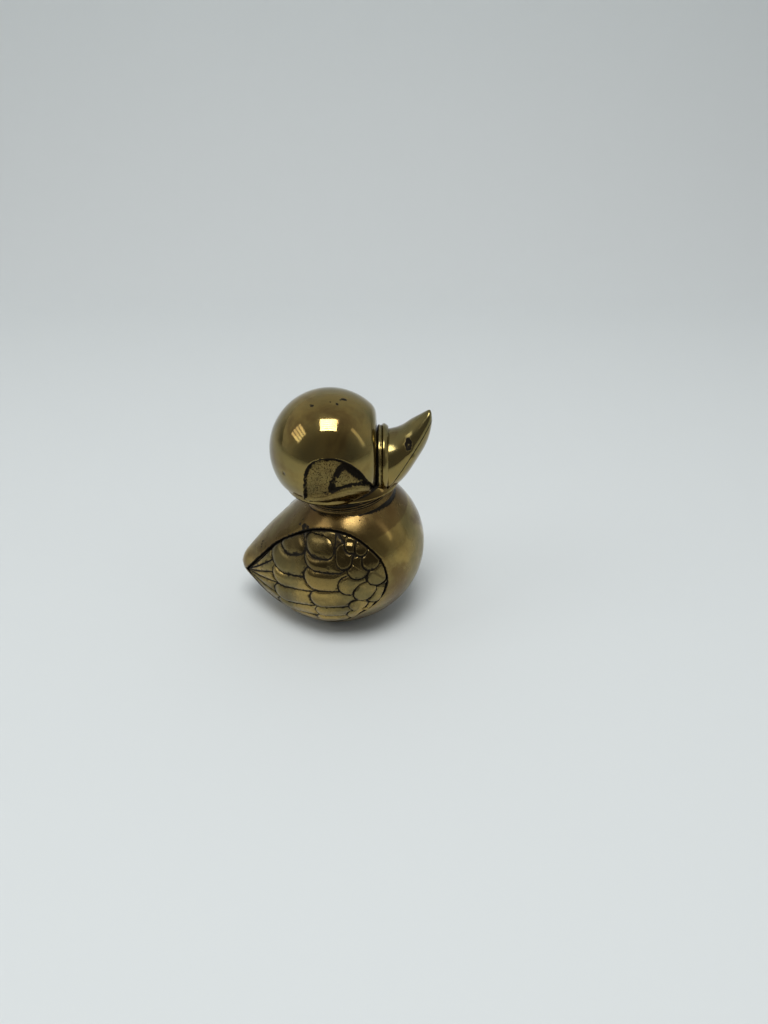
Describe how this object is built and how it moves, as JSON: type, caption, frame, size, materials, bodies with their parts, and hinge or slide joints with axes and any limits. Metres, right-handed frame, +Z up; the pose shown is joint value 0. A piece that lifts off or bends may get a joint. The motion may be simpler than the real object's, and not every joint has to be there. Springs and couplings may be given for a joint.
{
  "type": "duck figurine",
  "caption": "Cast brass duck ornament with a round head, an upturned bill, a beaded neck ring and feathered wing panels on a hollow drop-shaped body with a flat foot",
  "frame": {"origin": "centre of the bounding box's bottom face, on the table under the figure", "axes": "+X toward the bill tip, +Y to the duck's left, +Z up"},
  "size_m": [0.0598, 0.0496, 0.0752],
  "materials": {
    "polished_brass": "aged_polished",
    "relief_brass": "patinated_relief",
    "fastener_steel": "turned"
  },
  "bodies": {
    "root": {"body_casting": "polished_brass", "right_wing": "relief_brass", "left_wing": "relief_brass", "neck_ring": "polished_brass", "head_casting": "polished_brass", "bill": "polished_brass", "neck_screw": "fastener_steel", "neck_washer": "fastener_steel"}
  },
  "joints": []
}
